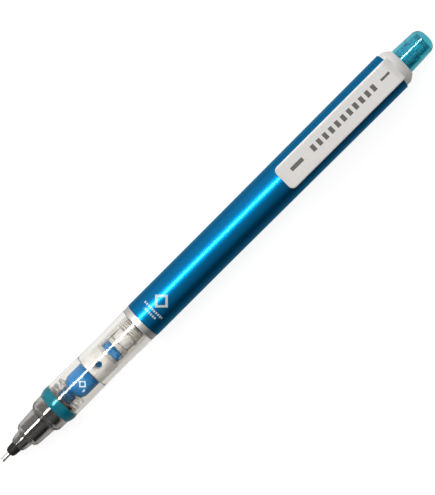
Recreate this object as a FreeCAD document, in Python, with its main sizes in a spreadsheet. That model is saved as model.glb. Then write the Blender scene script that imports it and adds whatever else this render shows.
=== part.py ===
"""Mechanical pencil whose lead turns a little with every stroke.

Every piece lies along one axis. Its outline is drawn by station, the distance behind the
tip of the lead pipe, and by radius. The pencil then lies along X, tip towards -X, with its
clip up, its middle at x = 0 and its lowest line at z = 0. All sizes are millimetres.
"""
import FreeCAD, Part
import math
import os
from types import SimpleNamespace

import Sketcher
from FreeCAD import Vector

NEAR = 1e-4  # how far an edge may lie from the place by which it is found
THROUGH = 3  # a cut this many radii long goes right through a piece, to both sides
WIRE_SIDES = 6  # the springs' wire is drawn with flat sides, which keeps their meshes light

doc = FreeCAD.newDocument("mechanical_pencil")
dims = doc.addObject("Spreadsheet::Sheet", "Dims")
pieces = []
rows = iter(range(1, 1000))


def size(group, **values):
    """Adds a group of driving dimensions to the sheet and returns them as expressions."""
    for name, value in values.items():
        row = next(rows)
        dims.set(f"A{row}", f"{group} {name}".replace("_", " "))
        dims.set(f"B{row}", str(value))
        dims.setAlias(f"B{row}", f"{group}_{name}")
    doc.recompute([dims])
    return SimpleNamespace(**{name: f"Dims.{group}_{name}" for name in values})


def worth(expression):
    """The number that an expression on the sheet gives."""
    number = dims.evalExpression(expression)
    return float(getattr(number, "Value", number))


# The pencil as a whole, and the play that its moving pieces have on the radius.
pencil = size("pencil", length=144.0, largest_r=5.2)
play = size("play", turning=0.06, sliding=0.07, thread=0.08)


def piece(name):
    """A new body for one piece, laid down in its place in the finished pencil."""
    body = doc.addObject("PartDesign::Body", name)
    body.Label = name
    body.setExpression("Placement.Base.x", f"-{pencil.length} / 2")
    body.setExpression("Placement.Base.z", pencil.largest_r)
    pieces.append(body)
    return body


def origin(body, role):
    """One of the planes or axes of the body's own origin."""
    return next(part for part in body.Origin.OriginFeatures if part.Role == role)


def sketch_on(body, role, lift=None):
    """An empty sketch on a plane of the body's origin, lifted off it by an expression."""
    sketch = body.newObject("Sketcher::SketchObject", f"{body.Name}_sketch")
    sketch.AttachmentSupport = [(origin(body, role), "")]
    sketch.MapMode = "FlatFace"
    if lift:
        sketch.setExpression("AttachmentOffset.Base.z", lift)
    return sketch


def pin_down(sketch, part, end, across, up):
    """Ties one point of a sketch to the sketch's origin by two expressions."""
    for kind, axis, expression in (("DistanceX", -2, across), ("DistanceY", -1, up)):
        distance = worth(expression)
        if distance == 0:
            sketch.addConstraint(Sketcher.Constraint("PointOnObject", part, end, axis))
            continue
        ends = (-1, 1, part, end) if distance > 0 else (part, end, -1, 1)
        number = sketch.addConstraint(Sketcher.Constraint(kind, *ends, abs(distance)))
        away = expression if distance > 0 else f"-({expression})"
        sketch.setExpression(f"Constraints[{number}]", away)


def outline(sketch, corners):
    """Draws a closed outline through corners given as pairs of expressions."""
    spots = [Vector(worth(across), worth(up), 0) for across, up in corners]
    for here, there in zip(spots, spots[1:] + spots[:1]):
        sketch.addGeometry(Part.LineSegment(here, there))
    for line, (across, up) in enumerate(corners):
        following = (line + 1) % len(corners)
        sketch.addConstraint(Sketcher.Constraint("Coincident", line, 2, following, 1))
        pin_down(sketch, line, 1, across, up)
    return sketch


def circle(sketch, across, up, radius):
    """Draws a circle whose centre and radius are expressions."""
    centre = Vector(worth(across), worth(up), 0)
    ring = sketch.addGeometry(Part.Circle(centre, Vector(0, 0, 1), worth(radius)))
    pin_down(sketch, ring, 3, across, up)
    number = sketch.addConstraint(Sketcher.Constraint("Radius", ring, worth(radius)))
    sketch.setExpression(f"Constraints[{number}]", radius)
    return sketch


def turned(name, corners):
    """A piece made by turning an outline of (station, radius) corners about the axis."""
    body = piece(name)
    turn = body.newObject("PartDesign::Revolution", f"{name}_turned")
    sketch = outline(sketch_on(body, "XY_Plane"), corners)
    turn.Profile = sketch
    turn.ReferenceAxis = (sketch, ["H_Axis"])
    turn.Angle = 360
    doc.recompute()
    return body


def tube(name, front, back, radius, bore):
    """A plain tube."""
    return turned(name, [(front, bore), (front, radius), (back, radius), (back, bore)])


def rounded(body, radius, wanted):
    """Rounds the body's edges that the test wanted(edge) picks, to one radius."""
    edges = [f"Edge{number}" for number, edge in enumerate(body.Shape.Edges, 1) if wanted(edge)]
    if not edges:
        raise RuntimeError(f"{body.Name} has no such edge to round")
    base = body.Tip
    feature = body.newObject("PartDesign::Fillet", f"{body.Name}_fillet")
    feature.Base = (base, edges)
    feature.setExpression("Radius", radius)
    doc.recompute()
    return feature


def round_rims(body, radius, rims):
    """Rounds the rims of a turned piece that lie at the given (station, radius) places."""
    places = [(worth(station) - worth(pencil.length) / 2, worth(rim)) for station, rim in rims]
    return rounded(body, radius, lambda edge: edge.Curve.TypeId == "Part::GeomCircle" and any(
        math.hypot(edge.Curve.Center.x - place[0], edge.Curve.Radius - place[1]) < NEAR
        for place in places))


def raise_or_cut(body, kind, profile, length, both_ways=True):
    """Pads or pockets a profile, by default half its length to each side."""
    before = body.Shape.Volume if body.Shape.Solids else 0
    feature = body.newObject(f"PartDesign::{kind}", f"{body.Name}_{kind.lower()}")
    feature.Profile = profile
    feature.Type = "Length"
    feature.Midplane = both_ways
    feature.setExpression("Length", length)
    doc.recompute()
    change = body.Shape.Volume - before
    if change * (1 if kind == "Pad" else -1) <= 0:
        raise RuntimeError(f"{feature.Name} changes nothing")
    return feature


def repeat_round(body, feature, count):
    """Repeats a feature evenly round the pencil's axis."""
    pattern = body.newObject("PartDesign::PolarPattern", f"{body.Name}_round")
    pattern.Originals = [feature]
    pattern.Axis = (origin(body, "X_Axis"), [""])
    pattern.Angle = 360
    pattern.setExpression("Occurrences", count)
    body.Tip = pattern
    doc.recompute()
    return pattern


def coil_spring(name, front, back, middle_r, wire_r, turns):
    """A helical spring between two stations, with the middle of its wire at a radius."""
    body = piece(name)
    corners = [(f"{front} + {wire_r} * (1 + cos({angle}deg))",
                f"{middle_r} + {wire_r} * sin({angle}deg)")
               for angle in range(0, 360, 360 // WIRE_SIDES)]
    profile = outline(sketch_on(body, "XY_Plane"), corners)
    coil = body.newObject("PartDesign::AdditiveHelix", f"{name}_coil")
    coil.Profile = profile
    coil.ReferenceAxis = (profile, ["H_Axis"])
    coil.Mode = "height-turns-angle"
    coil.setExpression("Height", f"{back} - {front} - 2 * {wire_r}")
    coil.setExpression("Turns", turns)
    doc.recompute()
    return body


# ---------------------------------------------------------------- the turning nose
# A steel pipe guides the lead. It is pressed into the black slider, which reaches back
# through the cone to the rotor and turns with it.
pipe = size("pipe", tip=0, exposed=2.65, back=9.9, radius=0.52, seat_r=0.75, bore=0.38)
turned("lead_pipe", [
    (pipe.tip, pipe.bore), (pipe.tip, pipe.radius), (pipe.exposed, pipe.radius),
    (pipe.exposed, pipe.seat_r), (pipe.back, pipe.seat_r), (pipe.back, pipe.bore)])

slider = size("slider", front_r=0.95, nose=3.5, nose_r=1.3, neck=5.2, neck_r=1.48,
              step=9.4, body_r=2.5, body_end=15.9, flange=16.3, flange_end=17.2, flange_r=3.25,
              shank_r=2.4, collar=20.0, back=21.4, collar_r=3.2, hollow_r=2.0)
slider_body = turned("slider", [
    (pipe.exposed, pipe.seat_r), (pipe.exposed, slider.front_r), (slider.nose, slider.nose_r),
    (slider.neck, slider.neck_r), (slider.step, slider.neck_r), (slider.step, slider.body_r),
    (slider.body_end, slider.body_r), (slider.flange, slider.flange_r),
    (slider.flange_end, slider.flange_r), (slider.flange_end, slider.shank_r),
    (slider.collar, slider.shank_r), (slider.collar, slider.collar_r),
    (slider.back, slider.collar_r), (slider.back, slider.hollow_r),
    (pipe.back, slider.hollow_r), (pipe.back, pipe.seat_r)])

retainer = size("retainer", back=11.0, radius=1.9, bore=0.36, lip=0.25)
turned("lead_retainer", [
    (pipe.back, retainer.bore), (pipe.back, retainer.radius),
    (retainer.back, retainer.radius),
    (retainer.back, f"{retainer.bore} + 2 * {retainer.lip}"),
    (f"{retainer.back} - {retainer.lip}", retainer.bore)])

# ---------------------------------------------------------------- the nose cone
# A clear moulding in three rounded steps. Its spigot screws into the grip.
cone = size("cone", front=5.2, front_r=1.8, round_1=6.1, round_1_r=2.1, back_1=8.2,
            back_1_r=2.37, round_2=9.1, round_2_r=3.3, back_2=14.4, back_2_r=3.62,
            round_3=15.5, round_3_r=4.42, shoulder=18.0, shoulder_r=4.55,
            spigot_end=21.6, spigot_r=4.12, hollow_2=9.2, hollow_2_r=2.65, hollow_3=15.6,
            hollow_3_r=3.4, rim=0.35)
bore_1_r = f"{slider.neck_r} + {play.turning}"
cone_body = turned("nose_cone", [
    (cone.front, bore_1_r), (cone.front, cone.front_r), (cone.round_1, cone.round_1_r),
    (cone.back_1, cone.back_1_r), (cone.round_2, cone.round_2_r),
    (cone.back_2, cone.back_2_r), (cone.round_3, cone.round_3_r),
    (cone.shoulder, cone.shoulder_r), (cone.shoulder, cone.spigot_r),
    (cone.spigot_end, cone.spigot_r), (cone.spigot_end, cone.hollow_3_r),
    (cone.hollow_3, cone.hollow_3_r), (cone.hollow_3, cone.hollow_2_r),
    (cone.hollow_2, cone.hollow_2_r), (cone.hollow_2, bore_1_r)])
round_rims(cone_body, cone.rim, [(cone.round_2, cone.round_2_r), (cone.round_3, cone.round_3_r)])

# ---------------------------------------------------------------- ring and grip
# The teal ring is trapped between the cone's shoulder and the clear, waisted grip.
ring = size("ring", back=20.8, front_r=4.6, bulge=19.3, bulge_r=5.05, back_r=4.92)
socket_r = f"{cone.spigot_r} + {play.thread}"
turned("coupling_ring", [
    (cone.shoulder, socket_r), (cone.shoulder, ring.front_r), (ring.bulge, ring.bulge_r),
    (ring.back, ring.back_r), (ring.back, socket_r)])

grip = size("grip", front_r=4.9, waist=32.0, waist_end=38.0, waist_r=4.76, back=48.2,
            back_r=4.95, hollow_end=30.7, engine_r=3.65, spigot_end=53.5, spigot_r=4.3)
grip_body = turned("grip_barrel", [
    (ring.back, socket_r), (ring.back, grip.front_r), (grip.waist, grip.waist_r),
    (grip.waist_end, grip.waist_r), (grip.back, grip.back_r), (grip.back, grip.spigot_r),
    (grip.spigot_end, grip.spigot_r), (grip.spigot_end, grip.engine_r),
    (grip.hollow_end, grip.engine_r), (grip.hollow_end, socket_r)])

# ---------------------------------------------------------------- the rotor
# One blue moulding: a front shaft, the indicator drum, a rear shaft and a flange with a
# crown of saw teeth on each face. It turns half a tooth as it is pressed back, and half a
# tooth more as it is let go.
rotor = size("rotor", front=20.3, shaft_r=2.0, bore=1.65, drum=24.3, drum_front_r=2.7,
             chamfer_end=25.6, drum_r=3.3, drum_end=30.1, back=40.4)
teeth = size("teeth", count=40, height=0.2, land=0.5, root=0.9, steep=2.5, inner_r=2.12,
             outer_r=2.9, gap=0.03, crest=37.1, body=1.5, lift=0.45, over=0.25, reach=0.2)
lower_root = f"{teeth.crest} - {teeth.height}"
front_crest = f"{lower_root} + {teeth.gap}"
front_root = f"{front_crest} + {teeth.height}"
back_root = f"{front_root} + {teeth.body}"
back_crest = f"{back_root} + {teeth.height}"
upper_root = f"{back_crest} + {teeth.lift} + {teeth.gap}"
upper_crest = f"{upper_root} - {teeth.height}"
rear_shaft_r = f"{teeth.inner_r} - 2 * {play.turning}"
rotor_body = turned("rotor_blank", [
    (rotor.front, rotor.bore), (rotor.front, rotor.shaft_r), (rotor.drum, rotor.shaft_r),
    (rotor.drum, rotor.drum_front_r), (rotor.chamfer_end, rotor.drum_r),
    (rotor.drum_end, rotor.drum_r), (rotor.drum_end, rear_shaft_r),
    (front_crest, rear_shaft_r), (front_crest, teeth.outer_r), (back_crest, teeth.outer_r),
    (back_crest, rear_shaft_r), (rotor.back, rear_shaft_r), (rotor.back, rotor.bore)])


# ---------------------------------------------------------------- the engine round it
# The front bearing carries the rotor's front shaft between two clear rims.
bearing = size("bearing", front=22.0, back=24.1, rim=0.45, rim_r=4.15, web_r=3.3)
bearing_bore = f"{rotor.shaft_r} + {play.turning}"
turned("front_bearing", [
    (bearing.front, bearing_bore), (bearing.front, bearing.rim_r),
    (f"{bearing.front} + {bearing.rim}", bearing.rim_r),
    (f"{bearing.front} + {bearing.rim}", bearing.web_r),
    (f"{bearing.back} - {bearing.rim}", bearing.web_r),
    (f"{bearing.back} - {bearing.rim}", bearing.rim_r),
    (bearing.back, bearing.rim_r), (bearing.back, bearing_bore)])

# The lower cam is a long holder with a crown of teeth on its rear end.
holder = size("holder", front=30.7, front_r=3.6, step=36.2, spigot_r=3.14, spigot_end=36.65,
              port=33.5, port_r=0.85)
holder_bore = f"{rear_shaft_r} + {play.turning}"
holder_body = turned("lower_cam_blank", [
    (holder.front, holder_bore), (holder.front, holder.front_r),
    (holder.step, holder.front_r), (holder.step, holder.spigot_r),
    (holder.spigot_end, holder.spigot_r), (holder.spigot_end, teeth.outer_r),
    (teeth.crest, teeth.outer_r), (teeth.crest, holder_bore)])
port = circle(sketch_on(holder_body, "XY_Plane"), holder.port, "0", holder.port_r)
raise_or_cut(holder_body, "Pocket", port, f"{THROUGH} * {holder.front_r}")

# The upper cam faces it from behind the flange, half a tooth round.
upper = size("upper_cam", back=40.3, radius=3.1, base=0.1)
upper_body = turned("upper_cam_blank", [
    (upper_crest, holder_bore), (upper_crest, teeth.outer_r),
    (f"{upper_root} + {upper.base}", teeth.outer_r),
    (f"{upper_root} + {upper.base}", upper.radius), (upper.back, upper.radius),
    (upper.back, holder_bore)])

# The clear sleeve keeps the cams apart. Teeth and canceller show through its windows.
sleeve = size("sleeve", back=46.1, radius=3.6, bore=3.15, teeth_from=36.95, teeth_to=39.05,
              slot_from=40.6, slot_to=43.4, width=4.4)
sleeve_body = tube("engine_sleeve", holder.step, sleeve.back, sleeve.radius, sleeve.bore)
for front, back in ((sleeve.teeth_from, sleeve.teeth_to), (sleeve.slot_from, sleeve.slot_to)):
    half = f"{sleeve.width} / 2"
    window = outline(sketch_on(sleeve_body, "XY_Plane"), [
        (front, f"-{half}"), (back, f"-{half}"), (back, half), (front, half)])
    raise_or_cut(sleeve_body, "Pocket", window, f"{THROUGH} * {sleeve.radius}")

# The torque canceller stands between the turning rotor and the spring that never turns.
canceller = size("canceller", back=43.3, radius=3.0, skirt_r=2.35, step=42.6, bore=1.32)
turned("torque_canceller", [
    (rotor.back, canceller.bore), (rotor.back, canceller.skirt_r),
    (canceller.step, canceller.skirt_r), (canceller.step, canceller.radius),
    (canceller.back, canceller.radius), (canceller.back, canceller.bore)])
cushion = size("cushion", middle_r=2.6, wire_r=0.2, turns=4)
coil_spring("cushion_spring", canceller.back, sleeve.back, cushion.middle_r,
            cushion.wire_r, cushion.turns)

stop = size("stop", back=48.0, cup_r=2.1, cup=47.0)
feed = size("feed", front=23.6, stem_r=0.8, stem_end=27.0, bore=0.6, back=52.3, radius=1.15,
            collar=30.0, collar_end=30.8, collar_r=1.55)
stop_bore = f"{feed.radius} + {play.turning}"
turned("engine_stop", [
    (sleeve.back, stop_bore), (sleeve.back, sleeve.radius), (stop.back, sleeve.radius),
    (stop.back, stop.cup_r), (stop.cup, stop.cup_r), (stop.cup, stop_bore)])

# ---------------------------------------------------------------- the chuck
# Three brass jaws on a stem, closed by a ring that sits in a sleeve.
chuck = size("chuck", front=14.3, nose_r=1.1, chamfer_end=14.7, head_r=1.3, head_end=16.5,
             neck=17.2, stem_r=0.95, bore=0.38, slit=0.14, slit_end=21.5, jaws=3)
chuck_body = turned("chuck", [
    (chuck.front, chuck.bore), (chuck.front, chuck.nose_r), (chuck.chamfer_end, chuck.head_r),
    (chuck.head_end, chuck.head_r), (chuck.neck, chuck.stem_r), (feed.front, chuck.stem_r),
    (feed.front, feed.stem_r), (feed.stem_end, feed.stem_r), (feed.stem_end, chuck.bore)])
slit = outline(sketch_on(chuck_body, "XZ_Plane"), [
    (f"{chuck.front} - 1", "0"), (chuck.slit_end, "0"),
    (chuck.slit_end, f"2 * {chuck.head_r}"), (f"{chuck.front} - 1", f"2 * {chuck.head_r}")])
first_slit = raise_or_cut(chuck_body, "Pocket", slit, chuck.slit)
repeat_round(chuck_body, first_slit, chuck.jaws)

closer = size("closer", front=14.8, back=16.4, radius=1.68)
tube("chuck_ring", closer.front, closer.back, closer.radius,
     f"{chuck.head_r} + {play.turning} / 2")

seat = size("seat", front=13.6, radius=1.95, bore=1.75, step=17.4)
stem_bore = f"{chuck.stem_r} + {play.sliding}"
turned("chuck_sleeve", [
    (seat.front, seat.bore), (seat.front, seat.radius), (rotor.front, seat.radius),
    (rotor.front, stem_bore), (seat.step, stem_bore), (seat.step, seat.bore)])

# The feed pipe carries the push through the rotor. The chuck's spring bears on its collar.
turned("feed_pipe", [
    (feed.front, feed.stem_r), (feed.front, feed.radius), (feed.collar, feed.radius),
    (feed.collar, feed.collar_r), (feed.collar_end, feed.collar_r),
    (feed.collar_end, feed.radius), (feed.back, feed.radius), (feed.back, feed.bore),
    (feed.stem_end, feed.bore), (feed.stem_end, feed.stem_r)])
recoil = size("recoil", middle_r=1.43, wire_r=0.14, turns=7)
coil_spring("chuck_spring", rotor.front, feed.collar, recoil.middle_r, recoil.wire_r, recoil.turns)

# ---------------------------------------------------------------- tank and leads
tank = size("tank", front=54.2, back=138.3, radius=2.55, bore=2.1)
link = size("link", front=51.3, nose_r=1.9, socket_end=53.1, funnel=54.2, funnel_r=1.8, back=57.5)
turned("tank_connector", [
    (link.front, f"{feed.radius} + {play.sliding}"), (link.front, link.nose_r),
    (link.socket_end, link.nose_r), (link.socket_end, tank.radius), (tank.front, tank.radius),
    (tank.front, tank.bore), (link.back, tank.bore), (link.back, link.funnel_r),
    (link.funnel, feed.bore), (link.socket_end, feed.bore),
    (link.socket_end, f"{feed.radius} + {play.sliding}")])
tube("lead_tank", tank.front, tank.back, tank.radius, tank.bore)

lead = size("lead", tip=0.15, length=60.0, radius=0.35, spare_front=66.0, spare_ring_r=1.1, spares=3)


def lead_stick(body, front, up):
    """One lead, from a station back, with its middle a distance above the axis."""
    disc = circle(sketch_on(body, "YZ_Plane", front), "0", up, lead.radius)
    return raise_or_cut(body, "Pad", disc, lead.length, both_ways=False)


lead_stick(piece("writing_lead"), lead.tip, "0")
spares_body = piece("spare_leads")
first_spare = lead_stick(spares_body, lead.spare_front, lead.spare_ring_r)
repeat_round(spares_body, first_spare, lead.spares)

# ---------------------------------------------------------------- barrel, collar and clip
barrel = size("barrel", front_r=5.0, straight_end=72.0, full=126.0, back=132.4, wall_r=4.2,
              spigot=126.4, corner=0.35)
barrel_body = turned("rear_barrel", [
    (grip.back, grip.spigot_r), (grip.back, barrel.front_r),
    (barrel.straight_end, barrel.front_r), (barrel.full, pencil.largest_r),
    (barrel.back, pencil.largest_r), (barrel.back, barrel.wall_r),
    (grip.spigot_end, barrel.wall_r), (grip.spigot_end, grip.spigot_r)])
round_rims(barrel_body, barrel.corner, [(barrel.back, pencil.largest_r)])

collar = size("collar", radius=4.88, cone=133.8, back=135.7, back_r=3.75, bore=3.5)
collar_body = turned("collar", [
    (barrel.spigot, collar.bore), (barrel.spigot, barrel.wall_r),
    (barrel.back, barrel.wall_r), (barrel.back, collar.radius),
    (collar.cone, collar.radius), (collar.back, collar.back_r), (collar.back, collar.bore)])

# The clip is a springy bar. Its root is rounded about the line on which it flexes, and the
# lug that rises from the collar is hollowed to match.
clip = size("clip", front=95.5, front_up=7.0, front_thick=0.8, crown=98.5, crown_up=7.6,
            top=7.9, under=6.55, bump_front=97.2, bump_back=100.0, bump_end=101.6,
            bump_under=5.17, root=130.6, gap=0.05, corner=1.2, edge=0.3, width=6.65,
            lug_back=132.8, lug_end=134.6, lug_foot=3.6, lug_under=6.3)
root_r = f"({clip.top} - {clip.under}) / 2"
root_up = f"({clip.top} + {clip.under}) / 2"
lug = outline(sketch_on(collar_body, "XZ_Plane"), [
    (clip.root, clip.lug_under), (clip.root, f"{clip.top} + {clip.gap}"),
    (clip.lug_back, f"{clip.top} + {clip.gap}"), (clip.lug_end, collar.back_r),
    (clip.lug_end, clip.lug_foot), (barrel.back, clip.lug_foot),
    (barrel.back, clip.lug_under)])
raise_or_cut(collar_body, "Pad", lug, clip.width)
hinge_hollow = circle(sketch_on(collar_body, "XZ_Plane"), clip.root, root_up, f"{root_r} + {clip.gap}")
raise_or_cut(collar_body, "Pocket", hinge_hollow, f"2 * {clip.width}")

clip_body = piece("pocket_clip")
bar = outline(sketch_on(clip_body, "XZ_Plane"), [
    (clip.front, f"{clip.front_up} - {clip.front_thick}"), (clip.front, clip.front_up),
    (clip.crown, clip.crown_up), (clip.root, clip.top), (clip.root, clip.under),
    (clip.bump_end, clip.under), (clip.bump_back, clip.bump_under),
    (clip.bump_front, clip.bump_under)])
raise_or_cut(clip_body, "Pad", bar, clip.width)
root = circle(sketch_on(clip_body, "XZ_Plane"), clip.root, root_up, root_r)
raise_or_cut(clip_body, "Pad", root, clip.width)
nose_x = worth(clip.front) - worth(pencil.length) / 2
side_y = worth(clip.width) / 2
nose_z = worth(pencil.largest_r) + worth(clip.front_up)
rounded(clip_body, clip.corner, lambda edge: (
    edge.BoundBox.XMax < nose_x + NEAR and edge.BoundBox.YLength < NEAR))
rounded(clip_body, clip.edge, lambda edge: (
    abs(abs(edge.CenterOfMass.y) - side_y) < NEAR and edge.BoundBox.ZMin > nose_z - NEAR
    and edge.BoundBox.XLength > worth(clip.corner)))

# ---------------------------------------------------------------- push cap and eraser
cap = size("cap", front=129.0, radius=3.42, taper=136.0, end_r=3.08, dome=2.1, bore=2.62,
           bore_end=139.5, top_r=2.3, top_end=142.5)
cap_body = turned("push_cap", [
    (cap.front, cap.bore), (cap.front, cap.radius), (cap.taper, cap.radius),
    (pencil.length, cap.end_r), (pencil.length, "0"), (cap.top_end, "0"),
    (cap.top_end, cap.top_r), (cap.bore_end, cap.top_r), (cap.bore_end, cap.bore)])
round_rims(cap_body, cap.dome, [(pencil.length, cap.end_r)])

eraser = size("eraser", front=134.3, back=141.6, radius=2.05, rim=0.5)
eraser_body = turned("eraser", [
    (eraser.front, "0"), (eraser.front, eraser.radius), (eraser.back, eraser.radius),
    (eraser.back, "0")])
round_rims(eraser_body, eraser.rim, [(eraser.back, eraser.radius)])

# ---------------------------------------------------------------- the saw teeth
# The rotor's two crowns are in line. At rest its front crown lies in the lower cam; the
# upper cam stands half a tooth round, and takes the back crown when the rotor is pressed.
def groove_at(crest, depth, start, falls_first):
    """One saw-tooth groove, as a solid with flat sides that all aim at the pencil's axis.

    crest is the station of the face it is cut into, depth the way to its root, negative
    towards the tip, and start the angle in degrees at which it begins. It falls along its
    gentle flank and rises along its steep one, or the other way round.
    """
    pitch = 360 / worth(teeth.count)
    land, root, steep = worth(teeth.land), worth(teeth.root), worth(teeth.steep)
    gentle = pitch - land - root - steep
    fall, rise = (gentle, steep) if falls_first else (steep, gentle)
    over = worth(teeth.over)
    angles = [start - fall * over, start + fall, start + fall + root,
              start + fall + root + rise * (1 + over)]
    ends = []
    for radius in (worth(teeth.inner_r) - worth(teeth.reach), worth(teeth.outer_r) + worth(teeth.reach)):
        reach = depth * radius / worth(teeth.inner_r)
        drops = [-over * reach, reach, reach, -over * reach]
        ends.append([Vector(crest + drop, -radius * math.tan(math.radians(angle)), radius)
                     for drop, angle in zip(drops, angles)])
    inner, outer = ends
    walls = [[inner[i - 1], outer[i - 1], outer[i], inner[i]] for i in range(4)]
    faces = [Part.Face(Part.makePolygon(wall + wall[:1])) for wall in walls + [inner, outer]]
    groove = Part.Solid(Part.Shell(faces))
    return groove if groove.Volume > 0 else groove.reversed()


def toothed(name, blank, *crowns):
    """Cuts crowns of saw teeth into a turned blank; each is given as groove_at has it."""
    count = int(worth(teeth.count))
    grooves = []
    for crest, depth, start, falls_first in crowns:
        groove = groove_at(worth(crest), worth(depth), worth(start), falls_first)
        for number in range(count):
            turned_groove = groove.copy()
            turned_groove.rotate(Vector(), Vector(1, 0, 0), 360 / count * number)
            grooves.append(turned_groove)
    cutter = doc.addObject("Part::Feature", f"{name}_cutter")
    cutter.Shape = Part.makeCompound(grooves)
    cutter.Placement = blank.Placement
    result = doc.addObject("Part::Cut", name)
    result.Base, result.Tool = blank, cutter
    blank.Label, result.Label = f"{name}_blank", name
    pieces[pieces.index(blank)] = result
    return result


crown_phase = (f"(360 / {teeth.count} - {teeth.land} - {teeth.root} - {teeth.steep})"
               f" + ({teeth.root} + {teeth.land}) / 2")
crowned = [
    toothed("rotor", rotor_body, (front_crest, teeth.height, crown_phase, False),
            (back_crest, f"-{teeth.height}", crown_phase, False)),
    toothed("lower_cam", holder_body, (teeth.crest, f"-{teeth.height}", "0", True)),
    toothed("upper_cam", upper_body, (upper_crest, teeth.height, f"180 / {teeth.count}", True))]

# ---------------------------------------------------------------- checks and files
doc.recompute()
for thing in doc.Objects:
    if {"Invalid", "Error"} & set(thing.State):
        raise RuntimeError(f"{thing.Label} failed: {thing.State}")
for each in crowned:
    if each.Shape.Volume >= each.Base.Shape.Volume:
        raise RuntimeError(f"{each.Label} has no teeth")
for each in pieces:
    if each.Shape.isNull() or not each.Shape.isValid() or not each.Shape.Solids:
        raise RuntimeError(f"{each.Label} has no valid solid")
os.makedirs("parts", exist_ok=True)
for each in pieces:
    each.Shape.exportStep(f"parts/{each.Label}.step")
print(f"{len(pieces)} pieces")
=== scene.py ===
import math

import bpy
from mathutils import Matrix, Vector


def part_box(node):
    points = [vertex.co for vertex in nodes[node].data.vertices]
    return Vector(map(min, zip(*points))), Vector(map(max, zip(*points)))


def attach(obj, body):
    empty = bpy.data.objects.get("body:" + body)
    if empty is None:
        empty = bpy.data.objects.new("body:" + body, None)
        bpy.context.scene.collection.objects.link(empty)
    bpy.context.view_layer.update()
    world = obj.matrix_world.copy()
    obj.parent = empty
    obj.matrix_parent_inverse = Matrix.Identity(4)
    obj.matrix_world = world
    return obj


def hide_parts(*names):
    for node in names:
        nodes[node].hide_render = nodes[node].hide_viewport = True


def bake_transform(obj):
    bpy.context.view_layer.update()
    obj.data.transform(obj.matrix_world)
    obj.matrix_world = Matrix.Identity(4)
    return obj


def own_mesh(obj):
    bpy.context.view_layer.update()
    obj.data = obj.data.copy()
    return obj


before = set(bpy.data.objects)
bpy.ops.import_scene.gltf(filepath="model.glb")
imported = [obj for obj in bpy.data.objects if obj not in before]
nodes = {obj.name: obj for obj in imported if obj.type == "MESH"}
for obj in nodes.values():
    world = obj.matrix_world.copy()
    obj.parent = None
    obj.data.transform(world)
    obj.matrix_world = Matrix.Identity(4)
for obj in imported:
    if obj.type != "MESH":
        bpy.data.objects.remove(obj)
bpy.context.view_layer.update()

# ---------------------------------------------------------------- the pale sheet
# The pencil lies on a matt white sheet that glows evenly, so that it shows next to no
# shadow. Its glow is painted darker towards one side: painted shade in the light it throws
# back at the pencil, and a painted shadow where it is seen up through the clear parts.
MM = 0.001
SHEET_SIZE = 3.0
SHEET_GLOW = 0.88
SHEET_MATT = 0.22
SHEET_FADE_THROUGH, SHEET_FADE_BOUNCE = 50.0, 10.0
PAINTED_SHADOW_STOPS = [(0.25, (0.66, 0.65, 0.63)), (0.55, (0.98, 0.98, 0.97))]
PAINTED_BOUNCE_SHADE_STOPS = [(0.2, (0.2,) * 3), (0.38, (0.36,) * 3), (0.5, (0.44,) * 3), (0.62, (0.62,) * 3)]


class Wire:
    """A socket of a node tree. Sums on it add Math nodes, and node() adds any other node."""

    def __init__(self, tree, socket=None):
        self.tree, self.socket = tree, socket

    def node(self, kind, plugs=(), out=0, stops=(), **settings):
        made = self.tree.nodes.new("ShaderNode" + kind)
        for name, value in settings.items():
            setattr(made, name, value)
        if stops:
            ramp = made.color_ramp.elements
            ramp[0].position, ramp[-1].position = stops[0][0], stops[-1][0]
            ramp[0].color, ramp[-1].color = (*stops[0][1], 1), (*stops[-1][1], 1)
            for place, colour in stops[1:-1]:
                ramp.new(place).color = (*colour, 1)
        for plug, value in dict(plugs).items():
            socket = made.inputs[plug]
            if isinstance(value, Wire):
                self.tree.links.new(value.socket, socket)
            elif socket.type == "RGBA":
                socket.default_value = (*value, 1)
            else:
                socket.default_value = value
        return Wire(self.tree, made.outputs[out]) if made.outputs else made

    def sum(self, operation, *terms):
        return self.node("Math", dict(enumerate(terms)), operation=operation)

    def __add__(self, other):
        return self.sum("ADD", self, other)

    def __sub__(self, other):
        return self.sum("SUBTRACT", self, other)

    def __rsub__(self, other):
        return self.sum("SUBTRACT", other, self)

    def __mul__(self, other):
        return self.sum("MULTIPLY", self, other)

    def __gt__(self, other):
        return self.sum("GREATER_THAN", self, other)

    def __lt__(self, other):
        return self.sum("LESS_THAN", self, other)

    def __abs__(self):
        return self.sum("ABSOLUTE", self)

    __radd__, __rmul__ = __add__, __mul__

    def larger(self, other):
        return self.sum("MAXIMUM", self, other)

    def over(self, ground, colour):
        """colour where this mask is 1, ground where it is 0."""
        return self.node("Mix", {0: self, 6: ground, 7: colour}, out=2, data_type="RGBA")


def blank_material(name):
    """A new material, and a wire on which its nodes are made."""
    material = bpy.data.materials.new(name)
    material.use_nodes = True
    material.node_tree.nodes.clear()
    return material, Wire(material.node_tree)


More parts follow.
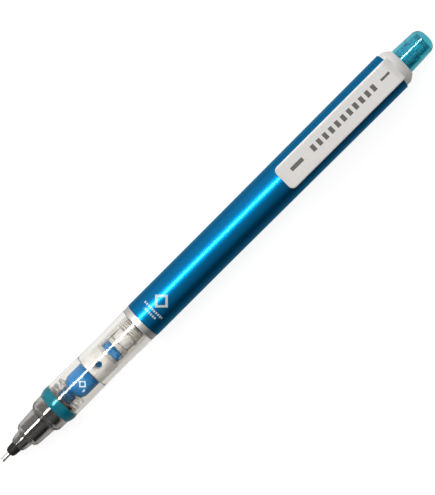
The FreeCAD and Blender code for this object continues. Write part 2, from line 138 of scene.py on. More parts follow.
bpy.ops.object.select_all(action="DESELECT")
bpy.ops.mesh.primitive_plane_add(size=SHEET_SIZE, location=(0, 0, 0))
floor = bpy.context.object
floor.name = "floor"
pale_sheet, wire = blank_material("pale_sheet")
glow = wire.node("Emission", {"Color": (1, 1, 1), "Strength": SHEET_GLOW})
matt = wire.node("BsdfDiffuse", {"Color": (SHEET_MATT,) * 3})
seen = wire.node("AddShader", {0: glow, 1: matt})
side = wire.node("SeparateXYZ", {0: wire.node("TexCoord", out="Object")}, out="Y")
# Painted shade: the light the sheet throws back at the pencil is darker towards one side.
shade = wire.node("ValToRGB", {0: side * SHEET_FADE_BOUNCE + 0.5}, stops=PAINTED_BOUNCE_SHADE_STOPS)
bounced = wire.node("Emission", {"Color": shade})
# Painted shadow: seen up through the clear parts, the sheet is darker on the side away from the
# lamps.
near = wire.node("ValToRGB", {0: side * SHEET_FADE_THROUGH + 0.5}, stops=PAINTED_SHADOW_STOPS)
under = wire.node("Emission", {"Color": near})
straight = wire.node("LightPath", out="Is Camera Ray")
through = wire.node("LightPath", out="Is Transmission Ray")
unseen = wire.node("MixShader", {0: through, 1: bounced, 2: under})
sheet = wire.node("MixShader", {0: straight, 1: unseen, 2: seen})
wire.node("OutputMaterial", {"Surface": sheet})
floor.data.materials.append(pale_sheet)

# ---------------------------------------------------------------- the light
# A long soft box hangs beside the camera and draws one thin streak along every glossy
# piece. The room is pale on that side and dark at the horizon on the other. It lights matt
# pieces with a plain slope from one side to the other.
AXIS_Z = sum(corner.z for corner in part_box("rear_barrel")) / 2
STREAK_ANGLE = math.radians(22)
STREAK_DISTANCE = 0.54
STREAK_SIZE = (0.8, 0.105)
STREAK_RADIANCE = 21.0
ROOM_STOPS = [(0.0, (0.03,) * 3), (0.05, (0.05,) * 3), (0.13, (0.30,) * 3), (0.3, (0.50,) * 3),
              (0.5, (0.28,) * 3), (0.64, (0.38,) * 3), (0.74, (0.85,) * 3), (1.0, (0.95,) * 3)]
ROOM_SOFT = 0.46
ROOM_TILT = 0.40

room = bpy.data.worlds.new("room")
bpy.context.scene.world = room
room.use_nodes = True
room.node_tree.nodes.clear()
wire = Wire(room.node_tree)
facing = wire.node("SeparateXYZ", {0: wire.node("TexCoord", out="Generated")}, out="Y")
walls = wire.node("ValToRGB", {0: facing * 0.5 + 0.5}, stops=ROOM_STOPS)
sharp = wire.node("Background", {"Color": walls})
soft = wire.node("Background", {"Color": (1, 1, 1), "Strength": facing * ROOM_TILT + ROOM_SOFT})
scattered = wire.node("LightPath", out="Is Diffuse Ray")
wire.node("OutputWorld", {"Surface": wire.node("MixShader", {0: scattered, 1: sharp, 2: soft})})

lamp = bpy.data.lights.new("long_soft_box", "AREA")
lamp.shape = "RECTANGLE"
lamp.size, lamp.size_y = STREAK_SIZE
lamp.energy = STREAK_RADIANCE * math.pi * STREAK_SIZE[0] * STREAK_SIZE[1]
soft_box = bpy.data.objects.new("long_soft_box", lamp)
bpy.context.scene.collection.objects.link(soft_box)
soft_box.location = (0, STREAK_DISTANCE * math.sin(STREAK_ANGLE),
                     AXIS_Z + STREAK_DISTANCE * math.cos(STREAK_ANGLE))
soft_box.rotation_euler = (-STREAK_ANGLE, 0, 0)
soft_box.visible_camera = False
soft_box.visible_diffuse = False

# ---------------------------------------------------------------- the second lamp
# A broad square lamp hangs a little to the same side. It shapes the matt pieces and leaves
# no reflection.
KEY_ANGLE = math.radians(24)
KEY_DISTANCE = 0.8
KEY_SIZE = 0.5
KEY_RADIANCE = 3.2
key = bpy.data.lights.new("matt_key", "AREA")
key.size = KEY_SIZE
key.energy = KEY_RADIANCE * math.pi * KEY_SIZE ** 2
overhead = bpy.data.objects.new("matt_key", key)
bpy.context.scene.collection.objects.link(overhead)
overhead.location = (0, KEY_DISTANCE * math.sin(KEY_ANGLE),
                     AXIS_Z + KEY_DISTANCE * math.cos(KEY_ANGLE))
overhead.rotation_euler = (-KEY_ANGLE, 0, 0)
overhead.visible_camera = overhead.visible_glossy = overhead.visible_transmission = False

# ---------------------------------------------------------------- the camera
# A long lens looks almost straight down, a little from the cap's side, and is rolled so
# that the pencil runs from its tip at the lower left to its cap at the upper right.
SENSOR = 36.0
FRAME_HEIGHT = 495
DOTS_PER_METRE = 4173.6
ROLL = math.radians(44.93)
NEAREST = 0.01
EYE = Vector((0.0215, 0.0, AXIS_Z + 0.43))
AIM = Vector((0.0012, -0.0003, AXIS_Z))

look = (AIM - EYE).normalized()
along = (Vector((1, 0, 0)) - look * look.x).normalized()
across = look.cross(along)
right = along * math.cos(ROLL) + across * math.sin(ROLL)
up = right.cross(look)
camera = bpy.data.objects.new("camera", bpy.data.cameras.new("camera"))
bpy.context.scene.collection.objects.link(camera)
turned_so = Matrix((right, up, -look)).transposed().to_4x4()
camera.matrix_world = Matrix.Translation(EYE) @ turned_so
camera.data.sensor_width = SENSOR
camera.data.lens = SENSOR * DOTS_PER_METRE * (AIM - EYE).length / FRAME_HEIGHT
camera.data.clip_start = NEAREST
bpy.context.scene.camera = camera
bpy.context.scene.view_settings.view_transform = "Standard"
bpy.context.scene.cycles.max_bounces = 32
bpy.context.scene.cycles.transmission_bounces = 24
bpy.context.scene.cycles.transparent_max_bounces = 24
bpy.context.scene.cycles.glossy_bounces = 8

# ---------------------------------------------------------------- lead pipe
# A drawn steel pipe, half a millimetre in radius, that guides the lead. Its thicker root
# is pressed into the slider.
TIP_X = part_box("lead_pipe")[0].x
AROUND = 96


def turn_piece(name, outline, softened=0.08):
    """Turns a closed outline of (mm behind the tip, mm off the axis) points on the lathe."""
    bpy.ops.object.select_all(action="DESELECT")
    station, radius = outline[0]
    start = (TIP_X + station * MM, 0, AXIS_Z + radius * MM)
    bpy.ops.mesh.primitive_plane_add(size=MM, location=start)
    piece = bpy.context.object
    piece.name = name
    bpy.ops.object.mode_set(mode="EDIT")
    bpy.ops.mesh.merge(type="CENTER")
    for (x0, r0), (x1, r1) in zip(outline, outline[1:]):
        step = ((x1 - x0) * MM, 0, (r1 - r0) * MM)
        bpy.ops.mesh.extrude_vertices_move(TRANSFORM_OT_translate={"value": step})
    bpy.ops.mesh.select_all(action="SELECT")
    bpy.ops.mesh.spin(steps=AROUND, angle=math.tau, center=(TIP_X, 0, AXIS_Z), axis=(1, 0, 0))
    close_up(piece)
    if softened:
        soften(piece, softened)
    return piece


def close_up(piece):
    """Merges doubled points, turns the faces outwards and puts the object at the origin."""
    bpy.context.view_layer.objects.active = piece
    if bpy.context.mode == "OBJECT":
        bpy.ops.object.mode_set(mode="EDIT")
    bpy.ops.mesh.select_all(action="SELECT")
    bpy.ops.mesh.remove_doubles(threshold=1e-6)
    bpy.ops.mesh.normals_make_consistent(inside=False)
    bpy.ops.object.mode_set(mode="OBJECT")
    bpy.ops.object.transform_apply(location=True, rotation=True, scale=True)
    bpy.ops.object.shade_smooth_by_angle(angle=math.radians(38))


def soften(piece, width, segments=2):
    """Rounds the sharp edges of a piece, width in mm."""
    edges = piece.modifiers.new("edges", "BEVEL")
    edges.limit_method = "ANGLE"
    edges.angle_limit = math.radians(24)
    edges.width = width * MM
    edges.segments = segments
    edges.miter_outer = "MITER_ARC"
    bpy.ops.object.modifier_apply(modifier=edges.name)
    bpy.ops.object.shade_smooth_by_angle(angle=math.radians(38))


def fit(piece, material, body, slot, *replaced):
    """Gives a finished piece its material and its body, and hides the nodes it stands for. The
    slot is not used.
    """
    piece.data.materials.clear()
    piece.data.materials.append(material)
    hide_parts(*replaced)
    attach(piece, body)


drawn_steel, wire = blank_material("drawn_steel")
place = wire.node("TexCoord", out="Object")
drawn = wire.node("Mapping", {"Vector": place, "Scale": (300, 9000, 9000)})
lines = wire.node("TexNoise", {"Vector": drawn, "Scale": 1.0, "Detail": 4.0})
steel = wire.node("ValToRGB", {0: lines},
                  stops=[(0.3, (0.42, 0.41, 0.40)), (0.7, (0.66, 0.65, 0.63))])
relief = wire.node("Bump", {"Height": lines, "Strength": 0.15, "Distance": 0.00002})
wire.node("OutputMaterial", {"Surface": wire.node("BsdfPrincipled", {
    "Base Color": steel, "Metallic": 1.0, "Roughness": lines * 0.2 + 0.16, "Normal": relief})})

pipe = turn_piece("guide_pipe", [
    (0, 0.38), (0, 0.52), (2.65, 0.52), (2.65, 0.75), (9.9, 0.75), (9.9, 0.38), (0, 0.38)], 0.05)
fit(pipe, drawn_steel, "rotor", "steel", "lead_pipe")

# ---------------------------------------------------------------- slider
# Black moulded plastic, matt at the bare nose and polished inside the cone. It holds the
# pipe, reaches back through the cone, and turns with the rotor.
NOSE_END = TIP_X + 5.2 * MM
NOSE_EXTRA_ROUGHNESS = 0.4

black_moulding, wire = blank_material("black_moulding")
place = wire.node("TexCoord", out="Object")
at = wire.node("SeparateXYZ", {0: place}, out="X")
mottle = wire.node("TexNoise", {"Vector": place, "Scale": 1400.0, "Detail": 3.0})
black = wire.node("ValToRGB", {0: mottle},
                  stops=[(0.3, (0.006, 0.005, 0.005)), (0.75, (0.013, 0.011, 0.010))])
matter = (at < NOSE_END) * NOSE_EXTRA_ROUGHNESS
relief = wire.node("Bump", {"Height": mottle, "Strength": 0.06, "Distance": 0.00003})
wire.node("OutputMaterial", {"Surface": wire.node("BsdfPrincipled", {
    "Base Color": black, "Roughness": mottle * 0.12 + matter + 0.14, "IOR": 1.33,
    "Normal": relief})})

slider = turn_piece("black_slider", [
    (2.55, 0.76), (2.55, 1.0), (2.95, 1.24), (3.5, 1.36), (5.2, 1.48), (8.5, 1.48),
    (8.5, 1.95), (9.25, 1.95), (9.25, 2.55), (14.85, 2.55), (14.85, 2.95), (15.65, 2.95),
    (15.65, 3.2), (17.2, 3.25), (17.2, 2.4), (20.0, 2.4), (20.0, 3.2), (21.4, 3.2), (21.4, 2.0),
    (9.9, 2.0), (9.9, 0.76), (2.55, 0.76)])
fit(slider, black_moulding, "rotor", "black_plastic", "slider")

# ---------------------------------------------------------------- nose cone
# A smoky clear moulding in three rounded steps, polished inside and out. Its spigot screws
# into the grip.
# Painted shade: the depth and colour of the dark bands put on clear rims.
PAINTED_RIM_SHADE_STRENGTH = 0.9
PAINTED_RIM_SHADE_COLOUR = (0.03, 0.03, 0.03)


def clear_plastic(name, tint, roughness, ior, shade, rims=()):
    """A clear plastic that lets shadows through in its own shade.

    Each of rims, (mm behind the tip, half its width in mm), is a ring of painted shade: a dark
    band in the base colour."""
    material, wire = blank_material(name)
    place = wire.node("TexCoord", out="Object")
    flow = wire.node("TexNoise", {"Vector": place, "Scale": 420.0, "Detail": 2.0})
    relief = wire.node("Bump", {"Height": flow, "Strength": 0.02, "Distance": 0.00003})
    deeper = tuple(part * 0.94 for part in tint)
    colour = wire.node("ValToRGB", {0: flow}, stops=[(0.3, tint), (0.8, deeper)])
    at = wire.node("SeparateXYZ", {0: place}, out="X")
    # Painted shade: each rim band darkens the base colour of the clear plastic.
    for station, half in rims:
        rim = abs(at - (TIP_X + station * MM)) < half * MM
        colour = (rim * PAINTED_RIM_SHADE_STRENGTH).over(colour, PAINTED_RIM_SHADE_COLOUR)
    solid = wire.node("BsdfPrincipled", {
        "Base Color": colour, "Roughness": roughness, "IOR": ior, "Transmission Weight": 1.0,
        "Normal": relief})
    open_way = wire.node("BsdfTransparent", {"Color": shade})
    shadow = wire.node("LightPath", out="Is Shadow Ray")
    wire.node("OutputMaterial", {"Surface": wire.node(
        "MixShader", {0: shadow, 1: solid, 2: open_way})})
    return material


smoky_clear = clear_plastic("smoky_clear", (0.42, 0.39, 0.365), 0.02, 1.95, (0.6, 0.57, 0.55))
cone = turn_piece("smoky_cone", [
    (5.2, 1.54), (5.2, 1.8), (6.1, 2.1), (8.0, 2.37), (8.35, 3.05), (9.0, 3.4), (14.3, 3.74),
    (14.6, 4.15), (15.3, 4.48), (18.0, 4.6), (18.0, 4.12), (21.6, 4.12), (21.6, 3.4),
    (15.55, 3.4), (15.55, 3.05), (14.8, 3.05), (14.8, 2.65), (9.2, 2.65), (9.2, 2.05),
    (8.45, 2.05), (8.45, 1.54), (5.2, 1.54)], 0.15)
fit(cone, smoky_clear, "nose_cone", "smoke_clear", "nose_cone")

# ---------------------------------------------------------------- coupling ring
# A deep teal ring with a soft bulge, moulded in a dense tinted plastic and trapped between
# the cone and the grip.
deep_teal, wire = blank_material("deep_teal")
place = wire.node("TexCoord", out="Object")
cloud = wire.node("TexNoise", {"Vector": place, "Scale": 500.0, "Detail": 3.0})
teal = wire.node("ValToRGB", {0: cloud},
                 stops=[(0.3, (0.002, 0.15, 0.22)), (0.75, (0.006, 0.21, 0.29))])
wire.node("OutputMaterial", {"Surface": wire.node("BsdfPrincipled", {
    "Base Color": teal, "Roughness": cloud * 0.1 + 0.12, "IOR": 1.6,
    "Specular Tint": (0.35, 1.0, 1.0)})})
ring = turn_piece("teal_ring", [
    (18.0, 4.2), (18.0, 4.6), (18.6, 4.84), (19.3, 5.0), (19.9, 5.04), (20.8, 4.92),
    (20.8, 4.2), (18.0, 4.2)], 0.12)
fit(ring, deep_teal, "barrel", "teal_clear", "coupling_ring")

# ---------------------------------------------------------------- clear grip
# A thick clear moulding, a little waisted, through which the whole engine shows. Its long
# spigot is pressed into the rear barrel.
water_clear = clear_plastic("water_clear", (0.945, 0.93, 0.90), 0.0, 1.42, (0.96, 0.95, 0.93))
grip = turn_piece("clear_grip", [
    (20.8, 4.2), (20.8, 4.9), (26.0, 4.84), (32.0, 4.76), (38.0, 4.76), (43.0, 4.85),
    (46.45, 4.92), (46.45, 4.2), (53.5, 4.2), (53.5, 3.65), (30.7, 3.65), (30.7, 4.2),
    (20.8, 4.2)], 0.1)
fit(grip, water_clear, "barrel", "clear", "grip_barrel")

# ---------------------------------------------------------------- satin band
# The bright aluminium end of the barrel, turned and left bare, shows as a narrow band
# between the blue lacquer and the clear grip.
satin_aluminium, wire = blank_material("satin_aluminium")
place = wire.node("TexCoord", out="Object")
turned = wire.node("Mapping", {"Vector": place, "Scale": (9000, 300, 300)})
lines = wire.node("TexNoise", {"Vector": turned, "Scale": 1.0, "Detail": 4.0})
satin = wire.node("ValToRGB", {0: lines},
                  stops=[(0.3, (0.56, 0.55, 0.52)), (0.7, (0.68, 0.67, 0.64))])
relief = wire.node("Bump", {"Height": lines, "Strength": 0.1, "Distance": 0.00002})
wire.node("OutputMaterial", {"Surface": wire.node("BsdfPrincipled", {
    "Base Color": satin, "Metallic": 0.85, "Roughness": lines * 0.15 + 0.3, "Normal": relief})})
band = turn_piece("satin_band", [
    (46.5, 4.25), (46.5, 4.9), (48.15, 4.93), (48.15, 4.25), (46.5, 4.25)], 0.08)
fit(band, satin_aluminium, "barrel", "steel")

# ---------------------------------------------------------------- front bearing
# Two clear rims and a web, moulded in one, that carry the rotor's front shaft inside the
# grip. The faces of the rims carry dark bands of painted shade.
rim_clear = clear_plastic("rim_clear", (0.93, 0.92, 0.9), 0.0, 1.25, (0.8, 0.79, 0.77),
                          rims=((22.45, 0.1), (23.7, 0.14)))
bearing = turn_piece("front_rims", [
    (22.0, 2.06), (22.0, 4.15), (22.45, 4.15), (22.45, 3.3), (23.65, 3.3), (23.65, 4.15),
    (24.1, 4.15), (24.1, 2.06), (22.0, 2.06)], 0.06)
fit(bearing, rim_clear, "barrel", "clear_inner", "front_bearing")

# ---------------------------------------------------------------- rotor
# The blue indicator drum, its shafts and the flange with forty teeth on each face are one
# moulding. A white lozenge and a small block are printed on the drum.
def smooth_copy(name, node):
    """A copy of a CAD node's own shape, with its points merged and its faces smoothed."""
    bpy.ops.object.select_all(action="DESELECT")
    piece = bpy.data.objects.new(name, nodes[node].data.copy())
    bpy.context.scene.collection.objects.link(piece)
    piece.select_set(True)
    close_up(piece)
    return piece


def survey(wire, floor):
    """Wires for Object coordinates, mm behind the tip, mm aside, and 1 above a height."""
    place = wire.node("TexCoord", out="Object")
    at, side, height = (wire.node("SeparateXYZ", {0: place}, out=axis) for axis in "XYZ")
    return place, (at - TIP_X) * (1 / MM), side * (1 / MM), height > floor


DRUM_LOZENGE_AT, DRUM_LOZENGE_ASIDE = 27.4, -0.6
DRUM_BLOCK_AT, DRUM_BLOCK_ASIDE = 26.4, -1.9

blue_moulding, wire = blank_material("blue_moulding")
place, station, aside, high = survey(wire, AXIS_Z)
cloud = wire.node("TexNoise", {"Vector": place, "Scale": 700.0, "Detail": 3.0})
blue = wire.node("ValToRGB", {0: cloud},
                 stops=[(0.3, (0.0, 0.11, 0.31)), (0.75, (0.0, 0.155, 0.40))])
lozenge = abs(station - DRUM_LOZENGE_AT) + abs(aside - DRUM_LOZENGE_ASIDE)
block = (abs(station - DRUM_BLOCK_AT) < 0.4) * (abs(aside - DRUM_BLOCK_ASIDE) < 0.2)
mark = (abs(lozenge - 0.85) < 0.24).larger(block) * high
marked = (mark * 0.85).over(blue, (0.62, 0.80, 0.95))
relief = wire.node("Bump", {"Height": cloud, "Strength": 0.05, "Distance": 0.00003})
wire.node("OutputMaterial", {"Surface": wire.node("BsdfPrincipled", {
    "Base Color": marked, "Roughness": cloud * 0.12 + 0.14, "Normal": relief})})
rotor = smooth_copy("blue_rotor", "rotor")
fit(rotor, blue_moulding, "rotor", "rotor_blue", "rotor")

# ---------------------------------------------------------------- cams
# Two rings of forty saw teeth in milky acetal. The front one stands on a long holder with
# a round port; the rear one waits half a tooth round behind the flange.
milky_acetal, wire = blank_material("milky_acetal")
place = wire.node("TexCoord", out="Object")
cloud = wire.node("TexNoise", {"Vector": place, "Scale": 600.0, "Detail": 4.0})
milk = wire.node("ValToRGB", {0: cloud},
                 stops=[(0.3, (0.46, 0.455, 0.445)), (0.75, (0.54, 0.535, 0.525))])
relief = wire.node("Bump", {"Height": cloud, "Strength": 0.05, "Distance": 0.00003})
wire.node("OutputMaterial", {"Surface": wire.node("BsdfPrincipled", {
    "Base Color": milk, "Roughness": cloud * 0.1 + 0.25, "Normal": relief})})
for name, node in (("cam_holder", "lower_cam"), ("rear_cam", "upper_cam")):
    fit(smooth_copy(name, node), milky_acetal, "barrel", "white_inner", node)

# ---------------------------------------------------------------- engine sleeve and stop
# A clear tube with two pairs of windows keeps the cams apart, and a clear cup closes the
# engine behind the spring.
inner_clear = clear_plastic("inner_clear", (0.88, 0.87, 0.85), 0.015, 1.52, (0.93, 0.92, 0.9))
fit(smooth_copy("window_sleeve", "engine_sleeve"), inner_clear, "barrel", "clear_inner",
    "engine_sleeve")
stop = turn_piece("rear_cup", [
    (46.1, 1.21), (46.1, 3.6), (48.0, 3.6), (48.0, 2.1), (47.0, 2.1), (47.0, 1.21),
    (46.1, 1.21)], 0.1)
fit(stop, smoky_clear, "barrel", "clear_inner", "engine_stop")

# ---------------------------------------------------------------- torque canceller
# A loose milky washer with a skirt, which turns neither with the rotor nor the spring.
canceller = turn_piece("loose_washer", [
    (40.4, 1.32), (40.4, 2.35), (42.6, 2.35), (42.6, 3.0), (43.3, 3.0), (43.3, 1.32),
    (40.4, 1.32)], 0.1)
fit(canceller, milky_acetal, "canceller", "white_inner", "torque_canceller")

# ---------------------------------------------------------------- springs
# Two coils of round steel wire: a short wide one behind the washer, which cushions the
# rotor, and a long thin one inside the rotor, which draws the chuck shut.
bright_wire, wire = blank_material("bright_wire")
place = wire.node("TexCoord", out="Object")
haze = wire.node("TexNoise", {"Vector": place, "Scale": 2500.0, "Detail": 2.0})
shine = wire.node("ValToRGB", {0: haze},
                  stops=[(0.3, (0.62, 0.61, 0.59)), (0.7, (0.82, 0.81, 0.79))])
wire.node("OutputMaterial", {"Surface": wire.node("BsdfPrincipled", {
    "Base Color": shine, "Metallic": 0.6, "Roughness": haze * 0.15 + 0.3})})


def wind_spring(name, front, back, middle_r, wire_r, turns):
    """Winds a round wire between two stations; all sizes are in mm."""
    bpy.ops.object.select_all(action="DESELECT")
    bpy.ops.mesh.primitive_circle_add(
        vertices=10, radius=wire_r * MM, location=(TIP_X + (front + wire_r) * MM, 0, AXIS_Z))
    piece = bpy.context.object
    piece.name = name
    bpy.ops.object.mode_set(mode="EDIT")
    bpy.ops.transform.rotate(value=math.pi / 2, orient_axis="X",
                             center_override=tuple(piece.location))
    bpy.ops.transform.translate(value=(0, 0, middle_r * MM))
    bpy.ops.object.mode_set(mode="OBJECT")
    coil = piece.modifiers.new("coil", "SCREW")
    coil.axis = "X"
    coil.iterations = turns
    coil.screw_offset = (back - front - 2 * wire_r) / turns * MM
    coil.steps = coil.render_steps = 40
    bpy.ops.object.modifier_apply(modifier=coil.name)
    bpy.ops.object.mode_set(mode="EDIT")
    bpy.ops.mesh.select_all(action="SELECT")
    bpy.ops.mesh.fill_holes(sides=0)
    close_up(piece)
    return piece


CUSHION_FRONT, CUSHION_BACK, PRESS = 43.3, 46.1, 0.45
cushion = wind_spring("cushion_coil", CUSHION_FRONT, CUSHION_BACK, 2.6, 0.2, 4)
fit(cushion, bright_wire, "barrel", "steel_wire", "cushion_spring")
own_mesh(cushion)
RECOIL_FRONT, RECOIL_BACK, PUSH = 20.3, 30.0, 3.0
recoil = wind_spring("chuck_coil", RECOIL_FRONT, RECOIL_BACK, 1.43, 0.12, 9)
fit(recoil, bright_wire, "rotor", "steel_wire", "chuck_spring")
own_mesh(recoil)

# ---------------------------------------------------------------- feed pipe
# A slim milky pipe through the rotor, which carries the push and the next lead forward.
feed = turn_piece("feed_tube", [
    (23.6, 0.8), (23.6, 1.15), (30.0, 1.15), (30.0, 1.55), (30.8, 1.55), (30.8, 1.15),
    (52.3, 1.15), (52.3, 0.6), (27.0, 0.6), (27.0, 0.8), (23.6, 0.8)], 0.06)
fit(feed, milky_acetal, "chuck", "white_inner", "feed_pipe")

# ---------------------------------------------------------------- rear barrel
# A drawn aluminium tube, lacquered in metallic blue, that widens a little towards the
# clip. A white lozenge and two rows of ticks are printed near its front.
TICK_PITCH, TICK_SHARE, TICK_HALF_LENGTH = 0.62, 0.62, 0.27
TICK_ROWS = ((51.0, 1.9), (52.1, 2.9))
LOZENGE_AT, LOZENGE_ASIDE, LOZENGE_REACH, LOZENGE_HALF_LINE = 55.0, 0.1, 1.75, 0.4

blue_lacquer, wire = blank_material("blue_lacquer")
place, station, aside, high = survey(wire, AXIS_Z)
flakes = wire.node("TexVoronoi", {"Vector": place, "Scale": 16000.0}, out="Color")
flake = wire.node("SeparateXYZ", {0: flakes}, out="X")
coats = wire.node("TexNoise", {"Vector": place, "Scale": 260.0, "Detail": 3.0})
lacquer = wire.node("ValToRGB", {0: flake * 0.6 + coats * 0.4},
                    stops=[(0.2, (0.0, 0.125, 0.295)), (0.8, (0.0, 0.165, 0.385))])
lozenge = abs(station - LOZENGE_AT) + abs(aside - LOZENGE_ASIDE)
ticks = abs(lozenge - LOZENGE_REACH) < LOZENGE_HALF_LINE
spaced = wire.sum("FRACT", aside * (1 / TICK_PITCH)) < TICK_SHARE
for row, half in TICK_ROWS:
    ticks = ticks.larger((abs(station - row) < TICK_HALF_LENGTH) * (abs(aside) < half) * spaced)
ticks = ticks * high
printed = (ticks * 0.9).over(lacquer, (0.75, 0.80, 0.82))
wire.node("OutputMaterial", {"Surface": wire.node("BsdfPrincipled", {
    "Base Color": printed, "Metallic": 0.9 - ticks * 0.9, "Roughness": flake * 0.08 + 0.28,
    "Specular Tint": (0.2, 0.8, 1.0), "Coat Weight": 0.12, "Coat Roughness": 0.05})})
barrel = turn_piece("blue_barrel", [
    (48.2, 4.3), (48.2, 5.0), (72.0, 5.0), (126.0, 5.2), (132.4, 5.2), (132.4, 4.2),
    (53.5, 4.2), (53.5, 4.3), (48.2, 4.3)], 0.12)
fit(barrel, blue_lacquer, "barrel", "barrel_blue", "rear_barrel")

# ---------------------------------------------------------------- collar and clip
# One pale grey moulding: the collar plugs the barrel, and the springy clip grows out of
# it. The clip's free end dips to a bump that grips the pocket. Plain bars are printed on top.
BAR_FIRST, BAR_PITCH, BAR_SHARE = 105.5, 1.98, 0.55
BARS_AT, BARS_HALF_LENGTH, BARS_ASIDE, BARS_HALF_WIDTH = 115.92, 10.55, 0.35, 0.85
DASHES = ((100.6, 1.9, 0.5), (129.6, 1.4, 0.3))
PRINT_FLOOR = 7.2

warm_grey, wire = blank_material("warm_grey")
place, station, aside, high = survey(wire, AXIS_Z + PRINT_FLOOR * MM)
mould = wire.node("TexNoise", {"Vector": place, "Scale": 2600.0, "Detail": 3.0})
grey = wire.node("ValToRGB", {0: mould},
                 stops=[(0.3, (0.85, 0.825, 0.79)), (0.75, (0.90, 0.875, 0.845))])
off_line = abs(aside - BARS_ASIDE)
spaced = wire.sum("FRACT", (station - BAR_FIRST) * (1 / BAR_PITCH)) < BAR_SHARE
bars = (abs(station - BARS_AT) < BARS_HALF_LENGTH) * (off_line < BARS_HALF_WIDTH) * spaced
for row, half_length, half_width in DASHES:
    bars = bars.larger((abs(station - row) < half_length) * (off_line < half_width))
bars = bars * high
inked = (bars * 0.9).over(grey, (0.07, 0.065, 0.065))
relief = wire.node("Bump", {"Height": mould, "Strength": 0.08, "Distance": 0.00003})
wire.node("OutputMaterial", {"Surface": wire.node("BsdfPrincipled", {
    "Base Color": inked, "Roughness": mould * 0.1 + 0.18, "Normal": relief})})

collar = turn_piece("clip_and_collar", [
    (126.4, 3.5), (126.4, 4.2), (132.4, 4.2), (132.4, 4.88), (133.8, 4.88), (135.4, 3.75),
    (135.4, 3.5), (126.4, 3.5)], 0)
CLIP_WIDE = 6.65
CLIP_FRONT = 95.5
CORNER, LONG_EDGE = 1.3, 0.3
COLLAR_RADIUS, COLLAR_BORE = 4.88, 3.5
MELT_CELL, CALM_ROUNDS = 0.13, 6


def pick(piece, wanted):
    """Selects, in edit mode, only the points of a piece whose place passes a test."""
    bpy.context.view_layer.objects.active = piece
    bpy.ops.object.mode_set(mode="EDIT")
    bpy.ops.mesh.select_mode(type="VERT")
    bpy.ops.mesh.select_all(action="DESELECT")
    bpy.ops.object.mode_set(mode="OBJECT")
    for point in piece.data.vertices:
        point.select = wanted(piece.matrix_world @ point.co)
    bpy.ops.object.mode_set(mode="EDIT")


def side_profile(points, width):
    """A flat-sided block, as wide as the clip, drawn by (station, height above axis) points."""
    bpy.ops.object.select_all(action="DESELECT")
    station, height = points[0]
    start = (TIP_X + station * MM, -width / 2 * MM, AXIS_Z + height * MM)
    bpy.ops.mesh.primitive_plane_add(size=MM, location=start)
    block = bpy.context.object
    bpy.ops.object.mode_set(mode="EDIT")
    bpy.ops.mesh.merge(type="CENTER")
    for (x0, z0), (x1, z1) in zip(points, points[1:]):
        step = ((x1 - x0) * MM, 0, (z1 - z0) * MM)
        bpy.ops.mesh.extrude_vertices_move(TRANSFORM_OT_translate={"value": step})
    bpy.ops.mesh.select_all(action="SELECT")
    bpy.ops.mesh.edge_face_add()
    bpy.ops.mesh.extrude_region_move(TRANSFORM_OT_translate={"value": (0, width * MM, 0)})
    close_up(block)
    return block


bar = side_profile([
    (CLIP_FRONT, 6.2), (CLIP_FRONT, 7.0), (97.0, 7.4), (98.5, 7.6), (101.0, 7.68), (130.6, 7.9),
    (131.6, 7.7), (133.0, 6.6), (133.0, 3.7), (132.5, 3.7), (132.45, 5.3), (132.2, 6.0),
    (131.6, 6.4), (130.6, 6.55), (101.6, 6.55), (100.0, 5.17), (98.6, 5.1), (97.2, 5.17)],
    CLIP_WIDE)
for way in (1, -1):
    pick(bar, lambda spot: spot.x < TIP_X + (CLIP_FRONT + 0.01) * MM and spot.y * way > 0)
    bpy.ops.mesh.bevel(offset=CORNER * MM, segments=6, affect="EDGES")
    bpy.ops.object.mode_set(mode="OBJECT")
close_up(bar)
soften(bar, LONG_EDGE, 3)

HOOD_FRONT = 132.42
bpy.ops.object.select_all(action="DESELECT")
bpy.ops.mesh.primitive_circle_add(
    vertices=AROUND, radius=COLLAR_RADIUS * MM, fill_type="NGON",
    location=(TIP_X + HOOD_FRONT * MM, 0, AXIS_Z), rotation=(0, math.pi / 2, 0))
hood = bpy.context.object
rings = [(HOOD_FRONT, COLLAR_RADIUS, 7.1), (133.2, 4.86, 6.55), (134.0, 4.62, 5.7),
         (134.8, 4.2, 4.65), (135.4, 3.75, 3.75)]
bpy.ops.object.mode_set(mode="EDIT")
for (x0, r0, _), (x1, r1, _) in zip(rings, rings[1:]):
    bpy.ops.mesh.extrude_region_move(TRANSFORM_OT_translate={"value": ((x1 - x0) * MM, 0, 0)})
    bpy.ops.transform.resize(value=(1, r1 / r0, r1 / r0),
                             center_override=(TIP_X + x1 * MM, 0, AXIS_Z))
for x, radius, height in rings:
    pick(hood, lambda spot: abs(spot.x - TIP_X - x * MM) < 1e-6 and spot.z > AXIS_Z + 1e-6)
    bpy.ops.transform.resize(value=(1, 1, height / radius),
                             center_override=(TIP_X + x * MM, 0, AXIS_Z))
close_up(hood)

bpy.ops.object.select_all(action="DESELECT")
bpy.ops.mesh.primitive_cylinder_add(
    vertices=AROUND, radius=COLLAR_BORE * MM, depth=14 * MM,
    location=(TIP_X + 131 * MM, 0, AXIS_Z), rotation=(0, math.pi / 2, 0))
bore = bpy.context.object
bpy.context.view_layer.objects.active = collar
for tool, operation in ((bar, "UNION"), (hood, "UNION"), (bore, "DIFFERENCE")):
    join = collar.modifiers.new("join", "BOOLEAN")
    join.operation = operation
    join.object = tool
    bpy.ops.object.modifier_apply(modifier=join.name)
    bpy.data.objects.remove(tool)
melt = collar.modifiers.new("melt", "REMESH")
melt.mode = "VOXEL"
melt.voxel_size = MELT_CELL * MM
bpy.ops.object.modifier_apply(modifier=melt.name)
calm = collar.modifiers.new("calm", "SMOOTH")
calm.factor, calm.iterations = 0.5, CALM_ROUNDS
bpy.ops.object.modifier_apply(modifier=calm.name)
bpy.ops.object.select_all(action="DESELECT")
collar.select_set(True)
bpy.ops.object.shade_smooth()
collar.data.materials.clear()
collar.data.materials.append(warm_grey)
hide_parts("collar", "pocket_clip")
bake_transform(collar)

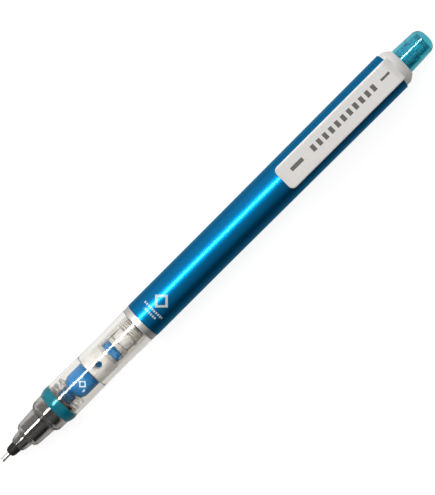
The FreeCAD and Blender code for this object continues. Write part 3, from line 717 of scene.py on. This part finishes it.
# ---------------------------------------------------------------- push cap
# A clear teal cap with a domed end that pulls off the tank. It is pressed to feed lead,
# and covers the eraser.
clear_teal = clear_plastic("clear_teal", (0.05, 0.44, 0.54), 0.02, 1.49, (0.2, 0.7, 0.8))
cap = turn_piece("teal_cap", [
    (129.0, 2.62), (129.0, 3.42), (136.0, 3.42), (141.9, 3.17), (142.5, 3.08), (143.1, 2.78),
    (143.6, 2.3), (143.9, 1.6), (144.0, 0.9), (144.0, 0), (142.5, 0), (142.5, 2.3),
    (139.5, 2.3), (139.5, 2.62), (129.0, 2.62)], 0.12)
fit(cap, clear_teal, "cap", "teal_cap", "push_cap")

# ---------------------------------------------------------------- eraser
# A small white vinyl plug that sits in the end of the tank, under the cap.
vinyl, wire = blank_material("vinyl")
place = wire.node("TexCoord", out="Object")
crumb = wire.node("TexNoise", {"Vector": place, "Scale": 1800.0, "Detail": 5.0})
chalk = wire.node("ValToRGB", {0: crumb},
                  stops=[(0.3, (0.74, 0.73, 0.70)), (0.75, (0.84, 0.83, 0.80))])
relief = wire.node("Bump", {"Height": crumb, "Strength": 0.3, "Distance": 0.00005})
wire.node("OutputMaterial", {"Surface": wire.node("BsdfPrincipled", {
    "Base Color": chalk, "Roughness": crumb * 0.2 + 0.55, "Normal": relief})})
eraser = turn_piece("vinyl_plug", [
    (134.3, 0), (134.3, 2.05), (141.2, 2.05), (141.6, 1.6), (141.6, 0), (134.3, 0)], 0.2)
fit(eraser, vinyl, "eraser", "eraser_rubber", "eraser")

# ---------------------------------------------------------------- brass, leads and tank
# Inside the slider and the barrel: the brass chuck and its ring, the steel sleeve, the
# rubber retainer, the lead tank with its connector, and the graphite leads.
def plain_finish(name, dark, light, scale, metallic, roughness):
    """A finish that drifts between two tones, with a fine relief."""
    material, wire = blank_material(name)
    place = wire.node("TexCoord", out="Object")
    drift = wire.node("TexNoise", {"Vector": place, "Scale": scale, "Detail": 3.0})
    colour = wire.node("ValToRGB", {0: drift}, stops=[(0.3, dark), (0.75, light)])
    relief = wire.node("Bump", {"Height": drift, "Strength": 0.1, "Distance": 0.00003})
    wire.node("OutputMaterial", {"Surface": wire.node("BsdfPrincipled", {
        "Base Color": colour, "Metallic": metallic, "Roughness": drift * 0.15 + roughness,
        "Normal": relief})})
    return material


turned_brass = plain_finish(
    "turned_brass", (0.52, 0.36, 0.14), (0.68, 0.50, 0.22), scale=1500.0, metallic=1.0,
    roughness=0.2)
graphite = plain_finish(
    "graphite", (0.02, 0.02, 0.022), (0.06, 0.06, 0.065), scale=5000.0, metallic=0.3,
    roughness=0.4)
soft_rubber = plain_finish(
    "soft_rubber", (0.02, 0.02, 0.02), (0.04, 0.04, 0.04), scale=2500.0, metallic=0.0,
    roughness=0.6)
tank_moulding = plain_finish(
    "tank_moulding", (0.55, 0.56, 0.56), (0.68, 0.69, 0.69), scale=900.0, metallic=0.0,
    roughness=0.3)
for node, material in (
        ("chuck", turned_brass), ("chuck_ring", turned_brass), ("chuck_sleeve", drawn_steel),
        ("lead_retainer", soft_rubber), ("writing_lead", graphite), ("spare_leads", graphite),
        ("lead_tank", tank_moulding), ("tank_connector", tank_moulding)):
    nodes[node].material_slots[0].material = material
